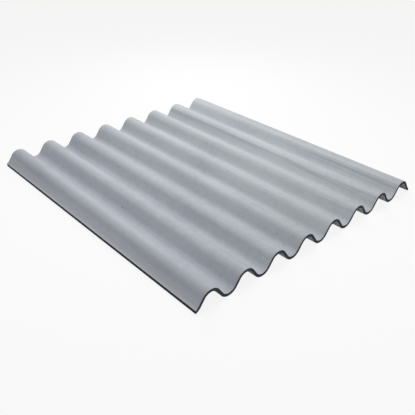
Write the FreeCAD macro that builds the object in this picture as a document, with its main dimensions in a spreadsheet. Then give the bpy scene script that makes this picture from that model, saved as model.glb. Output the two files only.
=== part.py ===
"""Corrugated fibre cement sheet: one moulded wave panel, cut square at its ends and trimmed at both sides.

Frame, in millimetres: +X runs across the waves, +Y along them and +Z up. The origin is the middle of
the sheet, on the plane that its valleys lie on. Each wave has two flat flanks joined by round bends.
The wall has one thickness all along the section, and the crests bend over the same radius as the valleys.
"""

import FreeCAD, Part, Sketcher
import math
import os

# The driving dimensions: alias, value, meaning. Lengths are in millimetres and the slope in degrees.
DIMENSIONS = (
    ("sheet_length", 1250, "along the waves, end to end"),
    ("wave_pitch", 146, "crest to crest"),
    ("wave_depth", 53, "valley to crest, on one face"),
    ("wave_count", 8, "number of crests"),
    ("flank_slope", 55, "slope of the flat flank between two bends"),
    ("wall", 11, "thickness of the sheet"),
    ("side_reach", 60, "outermost crest to trimmed side edge, across the waves"),
    ("saw_room", 20, "how far the side cutters pass the blank on every side"),
)

START, END, CENTRE = 1, 2, 3  # how Sketcher numbers the points of a line or an arc
ORIGIN_POINT = (-1, 1)  # a sketch's own origin and axes, as Sketcher numbers them
X_AXIS, Z_AXIS = -1, -2


def make_spreadsheet(document):
    """One row for each driving dimension: its meaning, and its value under its alias."""
    sheet = document.addObject("Spreadsheet::Sheet", "Dimensions")
    for row, (alias, value, meaning) in enumerate(DIMENSIONS, start=1):
        sheet.set(f"A{row}", meaning)
        sheet.set(f"B{row}", str(value))
        sheet.setAlias(f"B{row}", alias)
    document.recompute()
    return sheet


def origin_feature(body, role):
    """One of the body's own origin planes or axes, as a link to it."""
    found = next(feature for feature in body.Origin.OriginFeatures if feature.Role == role)
    return (found, [""])


def add_sketch(body, name):
    """An empty sketch on the body's XZ plane, so that its x is the row's X and its y is the row's Z."""
    sketch = body.newObject("Sketcher::SketchObject", name)
    sketch.AttachmentSupport = origin_feature(body, "XZ_Plane")
    sketch.MapMode = "FlatFace"
    return sketch


def drive(sketch, constraint, name, expression):
    """Adds a dimension to the sketch and binds it to the spreadsheet."""
    index = sketch.addConstraint(constraint)
    sketch.renameConstraint(index, name)
    sketch.setExpression(f"Constraints.{name}", expression)


def arc(centre_x, centre_z, radius, start, turn):
    """An arc that runs anticlockwise through the angle turn."""
    circle = Part.Circle(FreeCAD.Vector(centre_x, centre_z, 0), FreeCAD.Vector(0, 0, 1), radius)
    return Part.ArcOfCircle(circle, start, start + turn)


def line(first, last):
    """A straight line from the point first to the point last."""
    return Part.LineSegment(first, last)


def sketch_half_wave(body, sheet):
    """The section from the middle of a valley, on the left, to the middle of a crest, on the Z axis."""
    slope = math.radians(sheet.flank_slope)
    across, up = sheet.wave_pitch / 4, sheet.wave_depth / 2
    bend = (across * math.sin(slope) - up * math.cos(slope)) / (1 - math.cos(slope))
    outer, inner = bend + sheet.wall / 2, bend - sheet.wall / 2
    crest = (0, sheet.wave_depth + sheet.wall - outer)
    valley = (-sheet.wave_pitch / 2, outer)

    crest_top = arc(*crest, outer, math.pi / 2, slope)
    crest_base = arc(*crest, inner, math.pi / 2, slope)
    valley_top = arc(*valley, inner, -math.pi / 2, slope)
    valley_base = arc(*valley, outer, -math.pi / 2, slope)
    outline = [
        crest_top,
        line(valley_top.EndPoint, crest_top.EndPoint),
        valley_top,
        line(valley_base.StartPoint, valley_top.StartPoint),
        valley_base,
        line(valley_base.EndPoint, crest_base.EndPoint),
        crest_base,
        line(crest_base.StartPoint, crest_top.StartPoint),
    ]
    sketch = add_sketch(body, "half_wave")
    sketch.addGeometry(outline, False)
    constrain_half_wave(sketch, sheet)
    return sketch


def constrain_half_wave(sketch, sheet):
    """Ties the half wave's eight edges together and to the spreadsheet, so that no freedom is left."""
    crest_top, flank_top, valley_top, valley_seam, valley_base, flank_base, crest_base, crest_seam = range(8)
    ties = [
        ("Tangent", crest_top, END, flank_top, END),
        ("Tangent", valley_top, END, flank_top, START),
        ("Tangent", crest_base, END, flank_base, END),
        ("Tangent", valley_base, END, flank_base, START),
        ("Coincident", crest_top, START, crest_seam, END),
        ("Coincident", crest_base, START, crest_seam, START),
        ("Coincident", valley_top, START, valley_seam, END),
        ("Coincident", valley_base, START, valley_seam, START),
        ("Coincident", crest_top, CENTRE, crest_base, CENTRE),
        ("Coincident", valley_top, CENTRE, valley_base, CENTRE),
        ("PointOnObject", crest_seam, START, Z_AXIS),
        ("PointOnObject", crest_seam, END, Z_AXIS),
        ("PointOnObject", crest_top, CENTRE, Z_AXIS),
        ("PointOnObject", valley_seam, START, X_AXIS),
        ("Vertical", valley_seam),
        ("Vertical", valley_top, CENTRE, valley_seam, START),
        ("Equal", crest_base, valley_top),
    ]
    for tie in ties:
        sketch.addConstraint(Sketcher.Constraint(*tie))

    half_pitch = Sketcher.Constraint("DistanceX", valley_seam, START, *ORIGIN_POINT, sheet.wave_pitch / 2)
    drive(sketch, half_pitch, "half_pitch", "Dimensions.wave_pitch / 2")
    crest_height = Sketcher.Constraint("DistanceY", *ORIGIN_POINT, crest_seam, START, sheet.wave_depth)
    drive(sketch, crest_height, "crest_height", "Dimensions.wave_depth")
    slope = Sketcher.Constraint("Angle", flank_top, math.radians(sheet.flank_slope))
    drive(sketch, slope, "slope", "Dimensions.flank_slope * 1 deg")
    for name, seam in (("crest_wall", crest_seam), ("valley_wall", valley_seam)):
        wall = Sketcher.Constraint("DistanceY", seam, START, seam, END, sheet.wall)
        drive(sketch, wall, name, "Dimensions.wall")


def pad_wave(body, half_wave):
    """The half wave as a solid, centred on the XZ plane, and its mirror image over the crest's middle."""
    pad = body.newObject("PartDesign::Pad", "half_wave_pad")
    pad.Profile = half_wave
    pad.SideType = "Symmetric"
    pad.setExpression("Length", "Dimensions.sheet_length")
    body.Document.recompute()

    mirrored = body.newObject("PartDesign::Mirrored", "whole_wave")
    mirrored.Originals = [pad]
    mirrored.MirrorPlane = origin_feature(body, "YZ_Plane")
    body.Tip = mirrored
    body.Document.recompute()


def repeat_wave(body):
    """The blank: the whole wave repeated along X, with one wave to spare at each side of the sheet."""
    pattern = body.newObject("PartDesign::LinearPattern", "blank")
    pattern.TransformMode = "Whole shape"
    pattern.Direction = origin_feature(body, "X_Axis")
    pattern.Mode = "Spacing"
    pattern.setExpression("Offset", "Dimensions.wave_pitch")
    pattern.setExpression("Occurrences", "Dimensions.wave_count + 2")
    body.Tip = pattern
    body.Document.recompute()
    return pattern


def add_cutter(sketch, name, near, far):
    """A rectangle from the distance near to the distance far, along +X, and taller than the waves."""
    corners = [FreeCAD.Vector(x, z, 0) for x, z in ((10, -1), (20, -1), (20, 1), (10, 1))]
    bottom, right, top, left = range(sketch.GeometryCount, sketch.GeometryCount + 4)
    for corner, after in zip(corners, corners[1:] + corners[:1]):
        sketch.addGeometry(line(corner, after), False)
    for first, second in ((bottom, right), (right, top), (top, left), (left, bottom)):
        sketch.addConstraint(Sketcher.Constraint("Coincident", first, END, second, START))
    for kind, side in (("Horizontal", bottom), ("Horizontal", top), ("Vertical", right), ("Vertical", left)):
        sketch.addConstraint(Sketcher.Constraint(kind, side))

    sides = (
        ("near", "DistanceX", left, 10, near),
        ("far", "DistanceX", right, 20, far),
        ("below", "DistanceY", bottom, -1, "-Dimensions.saw_room"),
        ("above", "DistanceY", top, 1, "Dimensions.wave_depth + Dimensions.wall + Dimensions.saw_room"),
    )
    for word, kind, side, start, expression in sides:
        constraint = Sketcher.Constraint(kind, *ORIGIN_POINT, side, START, start)
        drive(sketch, constraint, f"{name}_{word}", expression)


def trim_sides(body, blank):
    """Cuts the blank square at the side reach beyond the first and the last crest of the sheet."""
    sketch = add_sketch(body, "side_cutters")
    before_first = "Dimensions.wave_pitch - Dimensions.side_reach"
    add_cutter(sketch, "left", "-Dimensions.wave_pitch / 2 - Dimensions.saw_room", before_first)
    past_last = "Dimensions.wave_pitch * Dimensions.wave_count + Dimensions.side_reach"
    past_blank = "Dimensions.wave_pitch * (Dimensions.wave_count + 3 / 2) + Dimensions.saw_room"
    add_cutter(sketch, "right", past_last, past_blank)

    blank_volume = blank.Shape.Volume
    pocket = body.newObject("PartDesign::Pocket", "side_trim")
    pocket.Profile = sketch
    pocket.Type = "ThroughAll"
    pocket.SideType = "Symmetric"
    body.Tip = pocket
    body.Document.recompute()
    if pocket.Shape.Volume >= blank_volume:
        raise RuntimeError("the side cutters remove nothing")


def make_sheet(document, sheet):
    """The whole panel, moved so that its middle stands over the origin."""
    body = document.addObject("PartDesign::Body", "corrugated_sheet")
    body.Label = "corrugated_sheet"
    pad_wave(body, sketch_half_wave(body, sheet))
    trim_sides(body, repeat_wave(body))
    body.setExpression("Placement.Base.x", "-Dimensions.wave_pitch * (Dimensions.wave_count + 1) / 2")
    document.recompute()
    return body


def check(document, body):
    """Stops the build if any feature failed, any sketch is loose or the panel isn't one sound solid."""
    for item in document.Objects:
        if "Invalid" in item.State or "Error" in item.State:
            raise RuntimeError(f"{item.Label}: {item.State}")
        if item.isDerivedFrom("Sketcher::SketchObject") and not item.FullyConstrained:
            raise RuntimeError(f"{item.Label} isn't fully constrained")
    if body.Shape.isNull() or not body.Shape.isValid() or len(body.Shape.Solids) != 1:
        raise RuntimeError(f"{body.Label} isn't one valid solid")


def export(body):
    """Writes the panel to parts/, under its own label, and prints its size."""
    os.makedirs("parts", exist_ok=True)
    body.Shape.exportStep(f"parts/{body.Label}.step")
    box = body.Shape.BoundBox
    print(f"{body.Label}: {box.XLength:.1f} x {box.YLength:.1f} x {box.ZLength:.1f} mm")
    print(f"from {box.XMin:.1f}, {box.YMin:.1f}, {box.ZMin:.1f}; volume {body.Shape.Volume / 1e6:.3f} litres")


def main():
    document = FreeCAD.newDocument("corrugated_sheet_panel")
    sheet = make_spreadsheet(document)
    body = make_sheet(document, sheet)
    check(document, body)
    export(body)


main()
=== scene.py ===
# %% [markdown]
# # A corrugated fibre cement sheet
#
# The real sheet is one piece. Thin wet layers of cement and fibre are rolled up into one wall, pressed
# over a waved former, cured, and sawn square. That leaves four things to show: round waves, a smooth
# pressed face, a rougher underside, and cut edges in which the layers can be seen.
#
# The plan follows the factory. A wave is bent, drawn out to the length of the sheet, given its wall and
# trimmed at the sides. Then it gets three finishes: one for the face, one for the underside and one for
# the cuts. All lengths are in metres, with +X across the waves, +Y along them and +Z up.

# %% Load the frame
import math

import bmesh
import bpy
from mathutils import Matrix, Vector, noise


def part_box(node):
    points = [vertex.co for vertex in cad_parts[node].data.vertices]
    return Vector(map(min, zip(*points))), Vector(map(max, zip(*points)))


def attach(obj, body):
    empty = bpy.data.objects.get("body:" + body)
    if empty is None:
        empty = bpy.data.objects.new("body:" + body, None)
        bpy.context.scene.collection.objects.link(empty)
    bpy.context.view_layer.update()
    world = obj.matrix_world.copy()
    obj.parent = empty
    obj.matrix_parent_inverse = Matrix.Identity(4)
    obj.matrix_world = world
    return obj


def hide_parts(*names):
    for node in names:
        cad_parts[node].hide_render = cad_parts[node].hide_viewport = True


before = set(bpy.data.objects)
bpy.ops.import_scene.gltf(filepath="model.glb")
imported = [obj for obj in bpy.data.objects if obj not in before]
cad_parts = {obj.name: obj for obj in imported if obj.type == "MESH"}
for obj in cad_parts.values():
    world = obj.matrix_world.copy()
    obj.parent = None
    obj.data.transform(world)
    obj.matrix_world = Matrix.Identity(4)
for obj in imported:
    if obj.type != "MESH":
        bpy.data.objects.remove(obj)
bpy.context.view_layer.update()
low, high = (Vector(corner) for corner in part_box("corrugated_sheet"))
print("sheet from", tuple(low), "to", tuple(high))

# %% [markdown]
# ## The camera
#
# A camera can be placed by hand or turned with a constraint. Here a few plain values say where it
# stands: it looks at a point on the floor from an azimuth, an elevation and a distance. The azimuth is
# counted from the front, and a negative one stands to the left. The rotation is then made of three
# turns, in order: the roll, the tilt and the azimuth.

# %% Camera
CAMERA_AIM = Vector((-0.1405, -0.1940, 0.0))
CAMERA_DISTANCE = 2.126
CAMERA_AZIMUTH = math.radians(-42.23)
CAMERA_ELEVATION = math.radians(30.84)
CAMERA_ROLL = math.radians(0.99)
SENSOR_WIDTH = 36  # this and the lens are in millimetres
LENS = 48.05


def place_camera():
    """A camera at the distance from its aim, on the side that the azimuth and the elevation give."""
    camera = bpy.data.objects.new("camera", bpy.data.cameras.new("camera"))
    bpy.context.collection.objects.link(camera)
    camera.data.sensor_width = SENSOR_WIDTH
    camera.data.lens = LENS
    turn = Matrix.Rotation(CAMERA_AZIMUTH, 4, "Z")
    tilt = Matrix.Rotation(math.pi / 2 - CAMERA_ELEVATION, 4, "X")
    roll = Matrix.Rotation(CAMERA_ROLL, 4, "Z")
    back = Matrix.Translation((0, 0, CAMERA_DISTANCE))
    camera.matrix_world = Matrix.Translation(CAMERA_AIM) @ turn @ tilt @ back @ roll
    bpy.context.scene.camera = camera
    return camera


camera = place_camera()
bpy.context.scene.view_settings.view_transform = "Standard"
print("camera at", tuple(round(value, 3) for value in camera.matrix_world.translation))

# %% [markdown]
# ## The wave
#
# The section is only arcs and straight lines: a round bend over each crest, a flat flank, a round bend
# through each valley. The wall has one thickness, so on the face a crest bends wider than a valley, by
# exactly that wall. Four sizes are chosen, and the rest follows from the box that the frame gives.

# %% Sizes of the wave
WAVES = 8
WALL = 0.011
SIDE_REACH = 0.060  # from the outermost crest to the sawn side
FLANK_SLOPE = math.radians(55)

length = high.y - low.y
pitch = (high.x - low.x - 2 * SIDE_REACH) / (WAVES - 1)
depth = high.z - low.z - WALL
flank_run = pitch / 4 * math.sin(FLANK_SLOPE) - depth / 2 * math.cos(FLANK_SLOPE)
middle_bend = flank_run / (1 - math.cos(FLANK_SLOPE))
crest_bend = middle_bend + WALL / 2
valley_bend = middle_bend - WALL / 2
flank = 2 * (pitch / 4 - middle_bend * math.sin(FLANK_SLOPE)) / math.cos(FLANK_SLOPE)
print(f"pitch {pitch:.4f}, depth {depth:.4f}, flank {flank:.4f}")
print(f"bends {crest_bend:.4f} and {valley_bend:.4f}")

# %% [markdown]
# ## Bending the section
#
# A sine curve would be quick, but its flanks are never flat and its crests are too sharp. Spinning one
# vertex about a bend's centre gives a true arc, and extruding it gives the flank, so the section is
# bent in the order in which a former would bend it. The blank runs from valley to valley, which is a
# little wider than the sheet, because the sides are sawn off later.

# %% Bend the section
BEND_STEP = math.radians(6.25)
FLANK_STEPS = 5
TINY = 1e-6  # shorter than any real edge


def bend(mesh, tip, centre, turn):
    """Carries the section's open end round a bend, and returns the new end."""
    steps = round(abs(turn) / BEND_STEP)
    made = bmesh.ops.spin(mesh, geom=[tip], cent=centre, axis=(0, 1, 0), angle=turn, steps=steps)
    return made["geom_last"][0]


def draw_flank(mesh, tip, direction):
    """Draws the open end straight on along a flank that goes down (-1) or up (+1)."""
    step = Vector((math.cos(FLANK_SLOPE), 0, direction * math.sin(FLANK_SLOPE))) * flank / FLANK_STEPS
    for _ in range(FLANK_STEPS):
        tip = bmesh.ops.extrude_vert_indiv(mesh, verts=[tip])["verts"][0]
        bmesh.ops.translate(mesh, verts=[tip], vec=step)
    return tip


def bend_section(mesh):
    """The face's line at the front end, from the middle of one valley to the middle of another."""
    first_valley = -pitch * WAVES / 2
    tip = mesh.verts.new((first_valley, low.y, low.z + WALL))
    for wave in range(WAVES):
        valley = first_valley + wave * pitch
        tip = bend(mesh, tip, (valley, low.y, low.z + WALL + valley_bend), -FLANK_SLOPE)
        tip = draw_flank(mesh, tip, +1)
        tip = bend(mesh, tip, (valley + pitch / 2, low.y, high.z - crest_bend), 2 * FLANK_SLOPE)
        tip = draw_flank(mesh, tip, -1)
        tip = bend(mesh, tip, (valley + pitch, low.y, low.z + WALL + valley_bend), -FLANK_SLOPE)
    bmesh.ops.remove_doubles(mesh, verts=mesh.verts, dist=TINY)


blank = bmesh.new()
bend_section(blank)
print("section:", len(blank.verts), "points, top at", round(max(vert.co.z for vert in blank.verts), 4))

# %% [markdown]
# ## Drawing it out and giving it a wall
#
# Extruding the line along Y makes the face. It is cut into short lengths, so that there are enough
# points to carry a little unevenness. The Solidify operator then gives it the wall. The Solidify
# modifier would do the same, but the sides have to be sawn through the finished wall, so the thickness
# must be real by then.

# %% Draw the blank out
LENGTHS = 90


def draw_out(mesh):
    """Extrudes the section to the back end, and cuts the face across into short lengths."""
    made = bmesh.ops.extrude_edge_only(mesh, edges=mesh.edges[:])["geom"]
    far_points = [item for item in made if isinstance(item, bmesh.types.BMVert)]
    bmesh.ops.translate(mesh, verts=far_points, vec=(0, length, 0))
    lengthwise = [edge for edge in mesh.edges if abs(edge.verts[0].co.y - edge.verts[1].co.y) > length / 2]
    bmesh.ops.subdivide_edges(mesh, edges=lengthwise, cuts=LENGTHS - 1, use_grid_fill=True)
    bmesh.ops.recalc_face_normals(mesh, faces=mesh.faces)
    if sum(face.normal.z for face in mesh.faces) < 0:
        bmesh.ops.reverse_faces(mesh, faces=mesh.faces)


draw_out(blank)
bmesh.ops.solidify(blank, geom=blank.faces[:], thickness=WALL)
heights = [vert.co.z for vert in blank.verts]
print("blank:", len(blank.faces), "faces, z", round(min(heights), 4), round(max(heights), 4))

# %% [markdown]
# ## Sawing the sides
#
# A saw leaves a flat upright cut through a sloping wall. Ending the section early can't make that: its
# edge would lean with the wall. So the blank is bisected where the saw would run, the waste is cleared,
# and the open cut is bridged from the face's edge to the underside's. Where the saw comes out at an end
# it leaves a spare point halfway through the wall, which is dissolved first, so that the mesh closes.

# %% Saw the sides
def saw_side(mesh, side):
    """Cuts the blank upright at the side reach beyond the outermost crest: side is -1 or +1."""
    cut = low.x if side < 0 else high.x
    parts = mesh.verts[:] + mesh.edges[:] + mesh.faces[:]
    bmesh.ops.bisect_plane(mesh, geom=parts, plane_co=(cut, 0, 0), plane_no=(side, 0, 0), clear_outer=True)
    rims = [edge for edge in mesh.edges if edge.is_boundary]
    along = [edge for edge in rims if abs(edge.verts[0].co.y - edge.verts[1].co.y) > TINY]
    needed = {vert for edge in along for vert in edge.verts}
    spare = [vert for vert in mesh.verts if vert.is_boundary and vert not in needed]
    bmesh.ops.dissolve_verts(mesh, verts=spare)
    bmesh.ops.bridge_loops(mesh, edges=along)


for side in (-1, +1):
    saw_side(blank, side)
bmesh.ops.recalc_face_normals(blank, faces=blank.faces)
open_edges = [edge for edge in blank.edges if not edge.is_manifold]
widths = [vert.co.x for vert in blank.verts]
print("sawn: x", round(min(widths), 4), round(max(widths), 4), "open edges", len(open_edges))

# %% [markdown]
# ## Face, underside and cuts
#
# Each face gets one of three material numbers by the way it looks: up, down or level. An attribute on
# the points also says how deep they lie in the wall, 0 at the face and 1 at the underside. Between
# points Blender blends it, so on a cut it tells the layers of the wall apart, which no position could
# do on a waved sheet. Then the sharp arrises are bevelled by a little over half a millimetre, because no
# sawn edge of this brittle stuff stays sharp.

# %% Sort the surfaces and ease the arrises
FACE, UNDERSIDE, CUT = range(3)
LEVEL = 0.3  # a face whose normal rises less than this looks level
SHARP = math.radians(35)
ARRIS = 0.0006


def sort_surfaces(mesh):
    """Numbers the faces by the way they look, and writes the depth in the wall on every point."""
    depth_in_wall = mesh.verts.layers.float.new("depth_in_wall")
    for face in mesh.faces:
        if abs(face.normal.z) < LEVEL:
            face.material_index = CUT
        elif face.normal.z > 0:
            face.material_index = FACE
        else:
            face.material_index = UNDERSIDE
            for vert in face.verts:
                vert[depth_in_wall] = 1.0


def ease_arrises(mesh):
    """Bevels every edge between a cut and a pressed surface, and where two cuts meet."""
    sharp = [edge for edge in mesh.edges if edge.calc_face_angle(0) > SHARP]
    bmesh.ops.bevel(mesh, geom=sharp, offset=ARRIS, segments=2, profile=0.5, affect="EDGES", material=-1)
    return len(sharp)


sort_surfaces(blank)
print("arrises:", ease_arrises(blank), "edges, surfaces:", len(blank.faces), "faces")

# %% [markdown]
# ## A little unevenness
#
# Real pressed sheet is never quite true. Noise moves each point of the face and the underside inwards
# by up to half a millimetre, in long soft swells that follow the waves. Only inwards, so that the sheet
# stays inside its box. A few chips are then knocked out of the arrises: the points near each chip are
# pulled back from the cut. BMesh operators leave the points in an order that can differ from run to run,
# so they are sorted by their places first, and the same seed then gives the same chips every time.

# %% Press it unevenly and chip the arrises
SWELL = 0.0005
SWELLS_ACROSS, SWELLS_ALONG = 16, 2.5  # how many to a metre
CHIPS, CHIP_SEED = 30, 7
CHIP_DEPTH = 0.0009
LEAST_CHIP, CHIP_SPREAD = 0.002, 0.006  # the smallest chip's radius, and how much wider the widest is


def swell(mesh):
    """Moves each point inwards, along its own normal, by soft noise that is stretched along the waves."""
    mesh.normal_update()
    for vert in mesh.verts:
        place = vert.co * Vector((SWELLS_ACROSS, SWELLS_ALONG, SWELLS_ACROSS))
        inward = Vector((-vert.normal.x, 0, -vert.normal.z))
        vert.co += inward * SWELL * (0.5 + 0.5 * noise.noise(place))


def chip_arrises(mesh):
    """Pulls the points near each chip's centre back from the end cut that it lies on, and down."""
    noise.seed_set(CHIP_SEED)
    ends = [vert for vert in mesh.verts if abs(vert.co.y) > length / 2 - LEAST_CHIP * 2]
    upper = [vert for vert in ends if any(face.material_index == FACE for face in vert.link_faces)]
    upper.sort(key=lambda vert: (vert.co.y > 0, vert.co.x))
    for _ in range(CHIPS):
        centre = upper[int(noise.random() * len(upper))].co.copy()
        radius = LEAST_CHIP + CHIP_SPREAD * noise.random() ** 2
        for vert in upper:
            near = 1 - (vert.co - centre).length / radius
            if near > 0:
                vert.co.y -= math.copysign(CHIP_DEPTH * near * (0.4 + 0.6 * noise.random()), vert.co.y)
                vert.co.z -= CHIP_DEPTH * 0.5 * near * noise.random()


swell(blank)
chip_arrises(blank)
heights = [vert.co.z for vert in blank.verts]
print("uneven: z", round(min(heights), 5), round(max(heights), 5))

# %% [markdown]
# ## Shader arithmetic
#
# A finish is a small network of nodes. Written node by node, its sums are hard to read, so one class
# wraps an output socket and overloads the operators: an expression such as 1 - mask then adds the Math
# nodes by itself. Everything else goes through one method, which takes a node's type, its settings and
# its sockets. Colours are blended in Mix nodes, because a Math node would turn them grey.

# %% Signals and finishes
class Signal:
    """An output socket, with operators that add Math nodes behind it."""

    def __init__(self, finish, socket):
        self.finish = finish
        self.socket = socket

    def math(self, operation, first, second):
        """The signal that a Math node makes of two values, each a signal or a number."""
        return self.finish.node("ShaderNodeMath", {"operation": operation}, {0: first, 1: second})

    def __add__(self, other):
        return self.math("ADD", self, other)

    def __sub__(self, other):
        return self.math("SUBTRACT", self, other)

    def __rsub__(self, other):
        return self.math("SUBTRACT", other, self)

    def __mul__(self, other):
        return self.math("MULTIPLY", self, other)

    __radd__ = __add__
    __rmul__ = __mul__


class Finish:
    """A material that is built up node by node, with the object's own coordinates at hand."""

    def __init__(self, name):
        self.material = bpy.data.materials.new(name)
        self.material.use_nodes = True
        self.tree = self.material.node_tree
        self.tree.nodes.clear()
        self.place = self.node("ShaderNodeTexCoord", output="Object")

    def node(self, kind, settings=None, sockets=None, output=0):
        """Adds a node, sets it up, fills or links its sockets and returns one of its outputs."""
        node = self.tree.nodes.new(kind)
        for name, value in (settings or {}).items():
            setattr(node, name, value)
        for name, value in (sockets or {}).items():
            if isinstance(value, Signal):
                self.tree.links.new(value.socket, node.inputs[name])
            else:
                node.inputs[name].default_value = value
        return Signal(self, node.outputs[output]) if node.outputs else None

    def noise(self, scale, detail=3.0, roughness=0.5, stretch=(1, 1, 1), shift=(0, 0, 0)):
        """Noise from 0 to 1 about 0.5, of so many cells a metre, squeezed by the stretch along each axis."""
        sockets = {"Vector": self.place, "Scale": stretch, "Location": shift}
        place = self.node("ShaderNodeMapping", sockets=sockets)
        values = {"Vector": place, "Scale": scale, "Detail": detail, "Roughness": roughness}
        return self.node("ShaderNodeTexNoise", sockets=values)

    def across(self):
        """How far across the sheet a spot lies, in metres."""
        return self.node("ShaderNodeSeparateXYZ", sockets={"Vector": self.place}, output="X")

    def ease(self, signal, start, end):
        """0 below the start, 1 above the end, and a smooth rise between. The start may be the larger."""
        values = {"Value": signal, "From Min": start, "From Max": end}
        return self.node("ShaderNodeMapRange", {"interpolation_type": "SMOOTHSTEP"}, values)

    def blend(self, amount, first, second, way="MIX"):
        """Two colours mixed by the amount, in Blender's way of that name."""
        settings = {"data_type": "RGBA", "blend_type": way}
        return self.node("ShaderNodeMix", settings, {0: amount, 6: first, 7: second}, output=2)

    def spot(self, x, y, half_width, half_length):
        """1 at a point of the sheet seen from above, falling softly to 0 at an ellipse about it."""
        values = {0: self.place, 1: (1 / half_width, 1 / half_length, 0)}
        squeezed = self.node("ShaderNodeVectorMath", {"operation": "MULTIPLY"}, values)
        values = {0: squeezed, 1: (x / half_width, y / half_length, 0)}
        distance = self.node("ShaderNodeVectorMath", {"operation": "DISTANCE"}, values, output="Value")
        return self.ease(distance, 1.0, 0.3)

    def shade(self, colour, roughness, height, relief):
        """Ends the finish: colour and roughness, and a bump as high as the relief, in metres."""
        bump = self.node("ShaderNodeBump", sockets={"Height": height, "Distance": relief, "Strength": 1.0})
        values = {"Base Color": colour, "Roughness": roughness, "Normal": bump}
        surface = self.node("ShaderNodeBsdfPrincipled", sockets=values)
        self.node("ShaderNodeOutputMaterial", sockets={"Surface": surface})
        return self.material


print("finishes are ready to be mixed")

# %% [markdown]
# ## The pressed face
#
# Cured cement is a pale blue grey, matt and slightly clouded. Three sizes of noise give that: clouds as
# wide as two hands, mottling as wide as a finger, and grain like coarse sand. The left half is a touch
# bluer than the right. Over that lie streaks that run the whole length of the sheet, left by the felt and
# the former: plain on the right-hand waves, faint on the others. Along the left side, light and shade are
# painted on: a paler strip as wide as a thumb is painted light, and a darker stripe above it, on the first
# wave's flank, is painted shade. Fibres show as short fine scratches along the waves, and a few pinholes
# are dark.
#
# Noise alone looks the same everywhere, and a real sheet has its own marks. So four of them are put down
# one by one: two dark specks, a pale one, and a scar where something slid along a crest. Each is a soft
# spot about a point of the sheet, and a scar is only a spot that is stretched along the wave.

# %% Finish for the face
PALE_CEMENT = (0.568, 0.600, 0.635, 1)
CEMENT = (0.497, 0.525, 0.565, 1)
# this darker cement also colours the painted shade on the first wave's left flank
DAMP_CEMENT_AND_SHADE = (0.405, 0.430, 0.468, 1)
COOL_TINT = (0.997, 1.0, 1.030, 1)
PLAIN_TINT = (0.998, 1.0, 0.990, 1)
PINHOLE = (0.085, 0.090, 0.100, 1)
TINT_EDGE = (low.x, 0.1)  # across the sheet, where a change begins and where it is full
STREAKS_EDGE = (0.05, 0.45)
# across the sheet: the strip of painted light along the left side, then the stripe of painted shade above it
PAINTED_LIGHT_STRIP_EDGE = (low.x + 0.026, low.x + 0.014)
PAINTED_SHADE_BAND_EDGES = ((low.x + 0.022, low.x + 0.032), (low.x + 0.075, low.x + 0.042))
FACE_RELIEF = 0.00035
MARKS = (  # place across and along the sheet, half width, half length, colour
    (-0.411, -0.020, 0.0030, 0.0042, PINHOLE),
    (-0.115, -0.523, 0.0026, 0.0030, PINHOLE),
    (-0.257, -0.594, 0.0028, 0.0034, (0.760, 0.780, 0.790, 1)),
    (0.349, -0.147, 0.0024, 0.0110, DAMP_CEMENT_AND_SHADE),
)


def pressed_face():
    """Matt blue-grey cement with clouds, lengthwise streaks, fibres, sand grain and pinholes."""
    finish = Finish("pressed_face")
    across = finish.across()

    clouds = finish.noise(4.5, detail=4, roughness=0.6, stretch=(1, 0.6, 1))
    mottle = finish.noise(42, detail=4, roughness=0.62)
    grain = finish.noise(310, detail=2, roughness=0.7)
    fibres = finish.noise(1, detail=2, stretch=(420, 34, 420))
    streaks = finish.noise(1, detail=3, roughness=0.7, stretch=(62, 0.55, 30))
    plainness = finish.ease(across, *STREAKS_EDGE) * 0.75 + 0.25

    tone = clouds * 0.42 + mottle * 0.28 + grain * 0.30
    colour = finish.blend(finish.ease(tone, 0.40, 0.68), CEMENT, PALE_CEMENT)
    colour = finish.blend(finish.ease(tone, 0.50, 0.34) * 0.55, colour, DAMP_CEMENT_AND_SHADE)
    colour = finish.blend(finish.ease(streaks, 0.50, 0.62) * plainness * 0.80, colour, DAMP_CEMENT_AND_SHADE)
    colour = finish.blend(finish.ease(streaks, 0.46, 0.34) * plainness * 0.50, colour, PALE_CEMENT)

    # painted light: the face is made paler in a strip along the left side
    colour = finish.blend(finish.ease(across, *PAINTED_LIGHT_STRIP_EDGE) * 0.8, colour, PALE_CEMENT)
    # painted shade: a darker stripe above that strip, across the first wave's flank
    painted_shade_band = finish.ease(across, *PAINTED_SHADE_BAND_EDGES[0]) * finish.ease(across, *PAINTED_SHADE_BAND_EDGES[1])
    colour = finish.blend(painted_shade_band * 0.45, colour, DAMP_CEMENT_AND_SHADE)
    tint = finish.blend(finish.ease(across, *TINT_EDGE), COOL_TINT, PLAIN_TINT)
    colour = finish.blend(1.0, colour, tint, "MULTIPLY")

    values = {"Vector": finish.place, "Scale": 55}
    cells = finish.node("ShaderNodeTexVoronoi", {"feature": "F1"}, values, output="Distance")
    rare = finish.ease(finish.noise(23, detail=0, shift=(3, 1, 2)), 0.64, 0.68)
    pinholes = finish.ease(cells, 0.085, 0.050) * rare
    colour = finish.blend(pinholes, colour, PINHOLE)
    for x, y, half_width, half_length, mark_colour in MARKS:
        colour = finish.blend(finish.spot(x, y, half_width, half_length) * 0.8, colour, mark_colour)

    roughness = mottle * 0.20 + grain * 0.15 + 0.55
    height = fibres * 0.35 + grain * 0.35 + streaks * plainness * 0.9 - pinholes * 1.5
    return finish.shade(colour, roughness, height, FACE_RELIEF)


# %% [markdown]
# ## The underside
#
# The underside lies on the felt while it is wet. It takes the felt's weave, dries greyer and more
# blotched, and stays rougher. A weave is two sets of waves at right angles; the Wave texture gives each,
# and the larger of the two is the thread on top.

# %% Finish for the underside
FELT_SIDE = (0.480, 0.505, 0.525, 1)
SLURRY = (0.590, 0.600, 0.605, 1)
FELT_RELIEF = 0.0004


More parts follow.
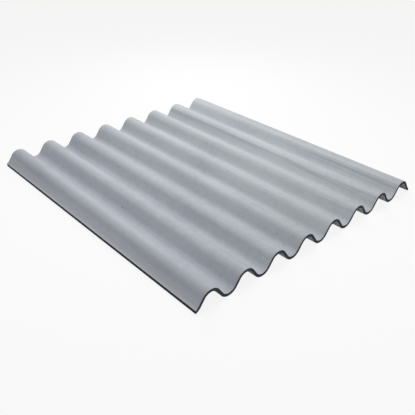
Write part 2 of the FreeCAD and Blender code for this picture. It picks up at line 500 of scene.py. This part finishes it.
def felt_underside():
    """Greyer cement with the felt's weave pressed in and smears of slurry."""
    finish = Finish("felt_underside")
    smears = finish.noise(7, detail=5, roughness=0.65, stretch=(1, 0.5, 1))
    grain = finish.noise(260, detail=3, roughness=0.7)
    settings = {"wave_type": "BANDS", "bands_direction": "Y"}
    waves = {"Vector": finish.place, "Scale": 95, "Distortion": 1.2, "Detail": 2, "Detail Scale": 1.5}
    weft = finish.node("ShaderNodeTexWave", settings, waves)
    warp = finish.node("ShaderNodeTexWave", {**settings, "bands_direction": "X"}, waves)
    weave = finish.node("ShaderNodeMath", {"operation": "MAXIMUM"}, {0: weft, 1: warp})

    colour = finish.blend(finish.ease(smears, 0.42, 0.62), FELT_SIDE, SLURRY)
    colour = finish.blend(grain * 0.35, colour, DAMP_CEMENT_AND_SHADE)
    return finish.shade(colour, grain * 0.15 + 0.75, weave * 0.6 + grain * 0.6, FELT_RELIEF)


# %% [markdown]
# ## The sawn cuts
#
# A sawn edge is much darker than the faces, because the saw tears the fibres up and they hold shadow and
# dust. The layers that the wall was rolled from show as thin lines along it. The attribute that was
# written on the points says how deep a spot lies, so a Noise on that depth alone gives the layers, and
# the cut stays right through every bend. The two long sides are darker still than the ends: shade is
# painted on them, so where the cut lies as far out as the saw ran, its colour is multiplied by a colour of
# painted shade.

# %% Finish for the cuts
SLATE = (0.034, 0.034, 0.045, 1)
TORN_FIBRE = (0.102, 0.102, 0.124, 1)
# painted shade for the two long sawn sides, multiplied into the cut's colour
SIDE_PAINTED_SHADE = (0.34, 0.24, 0.28, 1)
PAINTED_SHADE_EDGE = (high.x - 0.002, high.x - 0.001)  # how far out the painted shade begins, and where it is full
CUT_RELIEF = 0.0005


def sawn_cut():
    """Dark slate core with thin layers, torn fibres and the saw's scratches."""
    finish = Finish("sawn_cut")
    settings = {"attribute_name": "depth_in_wall"}
    depth_in_wall = finish.node("ShaderNodeAttribute", settings, output="Fac")
    ripple = finish.noise(30, detail=2)
    values = {"W": depth_in_wall * 9 + ripple, "Scale": 1.6, "Detail": 2}
    layers = finish.node("ShaderNodeTexNoise", {"noise_dimensions": "1D"}, values)
    torn = finish.noise(650, detail=3, roughness=0.7)
    scratches = finish.noise(1, detail=1, stretch=(900, 900, 120))

    light = finish.ease(layers, 0.50, 0.62) * 0.45 + finish.ease(torn, 0.50, 0.70) * 0.45
    colour = finish.blend(light, SLATE, TORN_FIBRE)
    # painted shade: the long sides' cuts are darkened where they lie furthest out
    outward = finish.node("ShaderNodeMath", {"operation": "ABSOLUTE"}, {0: finish.across()})
    colour = finish.blend(finish.ease(outward, *PAINTED_SHADE_EDGE), colour, SIDE_PAINTED_SHADE, "MULTIPLY")
    height = layers * 0.6 + torn * 0.8 + scratches * 0.4
    return finish.shade(colour, torn * 0.1 + 0.82, height, CUT_RELIEF)


# %% [markdown]
# ## Putting the sheet in its place
#
# The finished mesh becomes one object that stands for the CAD solid, which stays behind it for
# collision. The pressed surfaces are shaded smooth and the cuts flat, so the arrises keep a crisp line.

# %% Make the sheet
def make_sheet(mesh):
    """The object for the modelled blank, with its three finishes in the order of their numbers."""
    sheet = bpy.data.objects.new("pressed_sheet", bpy.data.meshes.new("pressed_sheet"))
    for face in mesh.faces:
        face.smooth = face.material_index != CUT
    mesh.to_mesh(sheet.data)
    mesh.free()
    for material in (pressed_face(), felt_underside(), sawn_cut()):
        sheet.data.materials.append(material)
    bpy.context.collection.objects.link(sheet)
    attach(sheet, "root")
    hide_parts("corrugated_sheet")
    return sheet


sheet = make_sheet(blank)
print("sheet:", len(sheet.data.polygons), "faces,", [slot.name for slot in sheet.data.materials])

# %% [markdown]
# ## The floor
#
# The sheet lies on a plain white floor. A white surface under soft light still renders a little grey, and
# more light would burn out the sheet. So the floor is mixed: rays from the camera, or from a mirror, see
# mostly a plain white glow, and the rest of it is matt paint, which takes the sheet's soft shadow. All
# other rays see only the paint.

# %% Floor
FLOOR_PAINT = (0.88, 0.88, 0.88, 1)
FLOOR_GLOW = 0.88
FLOOR_GAP = 0.0003  # keeps the floor clear of the valleys that rest on it


def lay_floor():
    """A wide white floor, seen nearly white, that keeps a soft trace of the sheet's shadow."""
    mesh = bpy.data.meshes.new("studio_floor")
    build = bmesh.new()
    bmesh.ops.create_grid(build, x_segments=1, y_segments=1, size=12)
    bmesh.ops.translate(build, verts=build.verts, vec=(0, 0, -FLOOR_GAP))
    build.to_mesh(mesh)
    build.free()
    floor = bpy.data.objects.new("studio_floor", mesh)
    bpy.context.collection.objects.link(floor)

    finish = Finish("studio_floor")
    paint = finish.node("ShaderNodeBsdfDiffuse", sockets={"Color": FLOOR_PAINT})
    glow = finish.node("ShaderNodeEmission", sockets={"Color": (1, 1, 1, 1), "Strength": 1.0})
    seen = finish.node("ShaderNodeLightPath", output="Is Camera Ray")
    mirrored = finish.node("ShaderNodeLightPath", output="Is Glossy Ray")
    values = {0: (seen + mirrored) * FLOOR_GLOW, 1: paint, 2: glow}
    surface = finish.node("ShaderNodeMixShader", sockets=values)
    finish.node("ShaderNodeOutputMaterial", sockets={"Surface": surface})
    mesh.materials.append(finish.material)


lay_floor()
print("floor laid")

# %% [markdown]
# ## The light
#
# Waves are read from their shading, so the light may be soft but not even. An even sky fills the
# valleys. It is weak, so it would look grey behind the floor: rays from the camera see a plain white one
# instead. One softbox hangs over the middle of the sheet: it brightens the crests and leaves the flanks
# in soft shade. A small one beyond the far right corner makes that corner the brightest, and the sheet
# falls off gently from there.

# %% Light
def set_world(strength):
    """An even white sky of the given strength, which the camera sees as plain white."""
    world = bpy.data.worlds.new("studio")
    world.use_nodes = True
    nodes, links = world.node_tree.nodes, world.node_tree.links
    nodes.clear()
    surface = nodes.new("ShaderNodeMixShader")
    links.new(nodes.new("ShaderNodeLightPath").outputs["Is Camera Ray"], surface.inputs["Fac"])
    for socket, brightness in ((1, strength), (2, 1.0)):
        sky = nodes.new("ShaderNodeBackground")
        sky.inputs["Color"].default_value = (1, 1, 1, 1)
        sky.inputs["Strength"].default_value = brightness
        links.new(sky.outputs["Background"], surface.inputs[socket])
    links.new(surface.outputs["Shader"], nodes.new("ShaderNodeOutputWorld").inputs["Surface"])
    bpy.context.scene.world = world


def add_softbox(name, place, aim, size, power):
    """A square area lamp at the place, turned so that it shines at the aim."""
    lamp = bpy.data.lights.new(name, "AREA")
    lamp.size = size
    lamp.energy = power
    softbox = bpy.data.objects.new(name, lamp)
    softbox.location = place
    softbox.rotation_euler = (Vector(aim) - Vector(place)).to_track_quat("-Z", "Y").to_euler()
    bpy.context.collection.objects.link(softbox)


set_world(0.25)
add_softbox("overhead_softbox", place=(0.1, 0.0, 2.0), aim=(0, 0, 0), size=1.2, power=26)
add_softbox("corner_softbox", place=(0.9, 1.1, 1.1), aim=(0.5, 0.5, 0), size=0.6, power=8)
print("light: an even sky and two softboxes")
